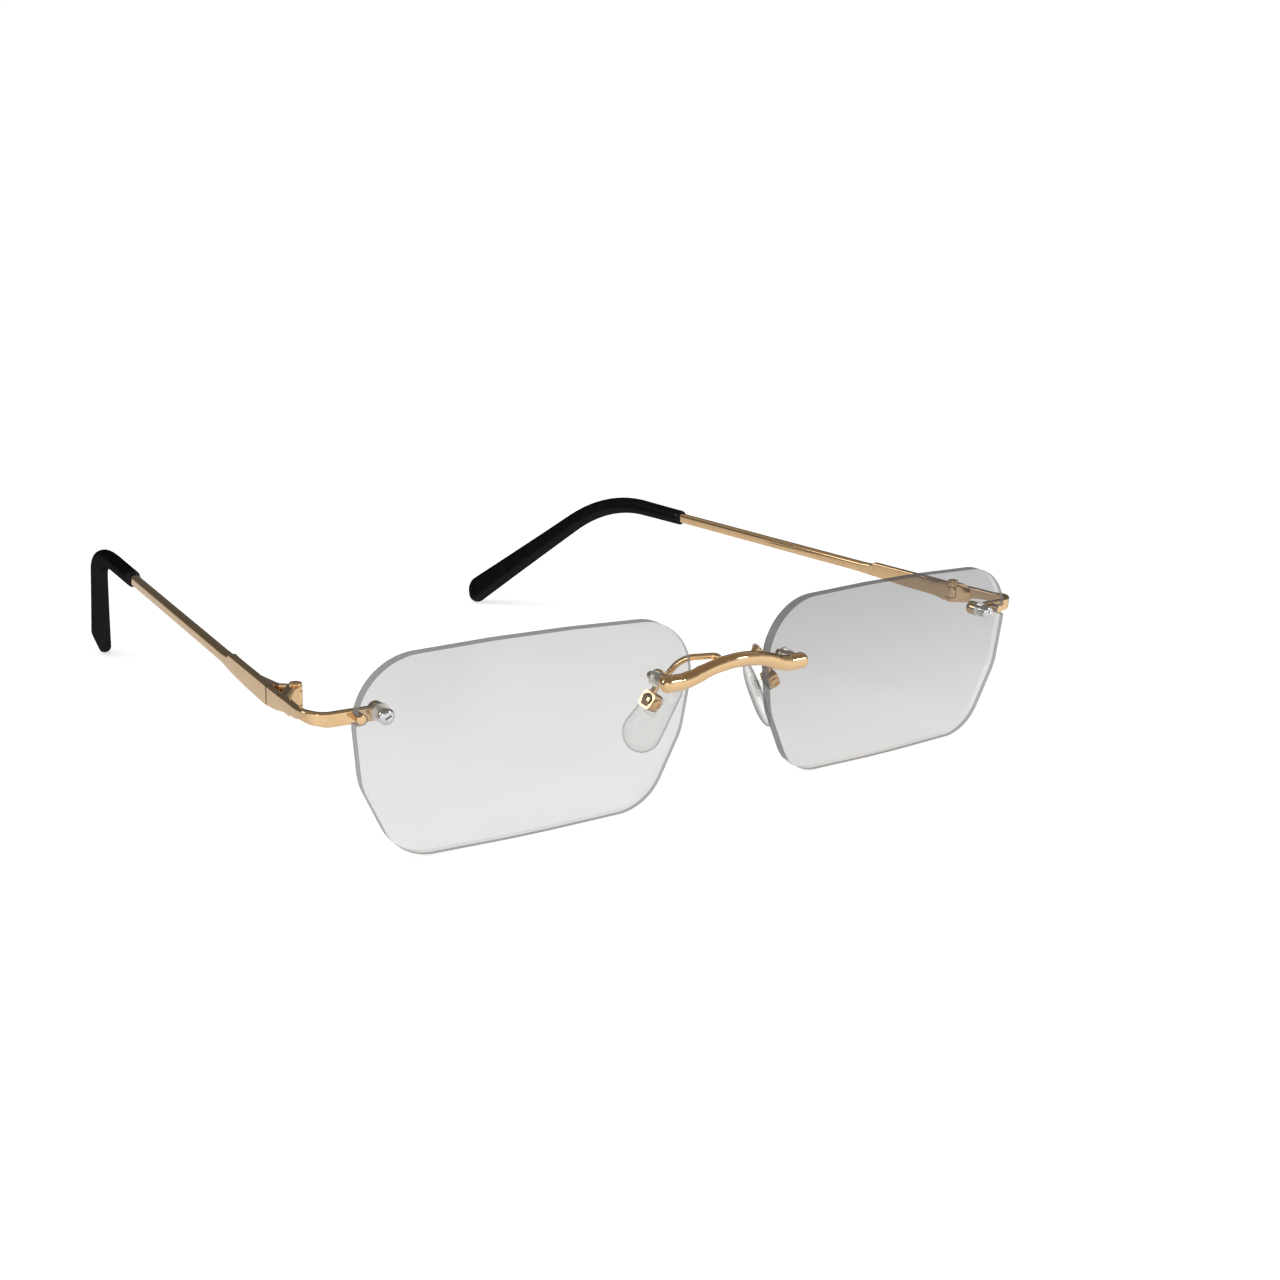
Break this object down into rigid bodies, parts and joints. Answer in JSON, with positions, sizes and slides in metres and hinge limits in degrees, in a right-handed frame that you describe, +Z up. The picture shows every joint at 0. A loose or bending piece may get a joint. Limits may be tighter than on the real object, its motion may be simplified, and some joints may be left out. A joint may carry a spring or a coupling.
{
  "type": "rimless eyeglasses",
  "caption": "Rimless eyeglasses with drilled smoke lenses, an arched bridge, clear nose pads on wire arms and temples that fold on barrel hinges",
  "frame": {"origin": "middle of the bottom of the bounding box, on the floor that the open glasses stand on", "axes": "+Z up, the front of the glasses faces -Y, the temples run back to +Y, +X is the right-hand side seen from the front"},
  "size_m": [0.1338, 0.1686, 0.0306],
  "materials": {
    "smoke_lens": "clear polished sheet, faint grey tint",
    "gold_metal": "polished warm gold plating",
    "bright_steel": "polished",
    "clear_nylon": "clear",
    "clear_silicone": "clear, soft sheen",
    "black_acetate": "polished black"
  },
  "bodies": {
    "front": {"lens_left": "smoke_lens", "lens_right": "smoke_lens", "bridge": "gold_metal", "lens_bushes": "clear_nylon", "bridge_washers": "clear_nylon", "cap_nuts": "bright_steel", "pad_arm_left": "gold_metal", "pad_arm_right": "gold_metal", "pad_box_left": "gold_metal", "pad_box_right": "gold_metal", "pad_screws": "gold_metal", "end_piece_left": "gold_metal", "end_piece_right": "gold_metal", "end_piece_washers": "clear_nylon", "lens_screws": "bright_steel", "front_hinge_left": "gold_metal", "front_hinge_right": "gold_metal", "hinge_screws": "gold_metal"},
    "left_temple": {"temple_left": "gold_metal", "temple_hinge_left": "gold_metal", "temple_tip_left": "black_acetate"},
    "right_temple": {"temple_right": "gold_metal", "temple_hinge_right": "gold_metal", "temple_tip_right": "black_acetate"},
    "left_pad": {"nose_pad_left": "clear_silicone", "pad_insert_left": "clear_nylon"},
    "right_pad": {"nose_pad_right": "clear_silicone", "pad_insert_right": "clear_nylon"}
  },
  "joints": [
    {"name": "fold_left_temple", "type": "hinge", "parent": "front", "child": "left_temple", "pos_m": [-0.0634, -0.06477, 0.02172], "axis": [-0.0017, 0.0743, -0.9972], "range_deg": [0, 86]},
    {"name": "fold_right_temple", "type": "hinge", "parent": "front", "child": "right_temple", "pos_m": [0.0634, -0.06477, 0.02172], "axis": [-0.0017, -0.0743, 0.9972], "range_deg": [0, 78]},
    {"name": "rock_left_pad", "type": "hinge", "parent": "front", "child": "left_pad", "pos_m": [-0.0116, -0.07616, 0.01597], "axis": [0.087, -0.9538, -0.2877], "range_deg": [-12, 12]},
    {"name": "rock_right_pad", "type": "hinge", "parent": "front", "child": "right_pad", "pos_m": [0.0116, -0.07616, 0.01597], "axis": [0.087, 0.9538, 0.2877], "range_deg": [-12, 12]}
  ]
}
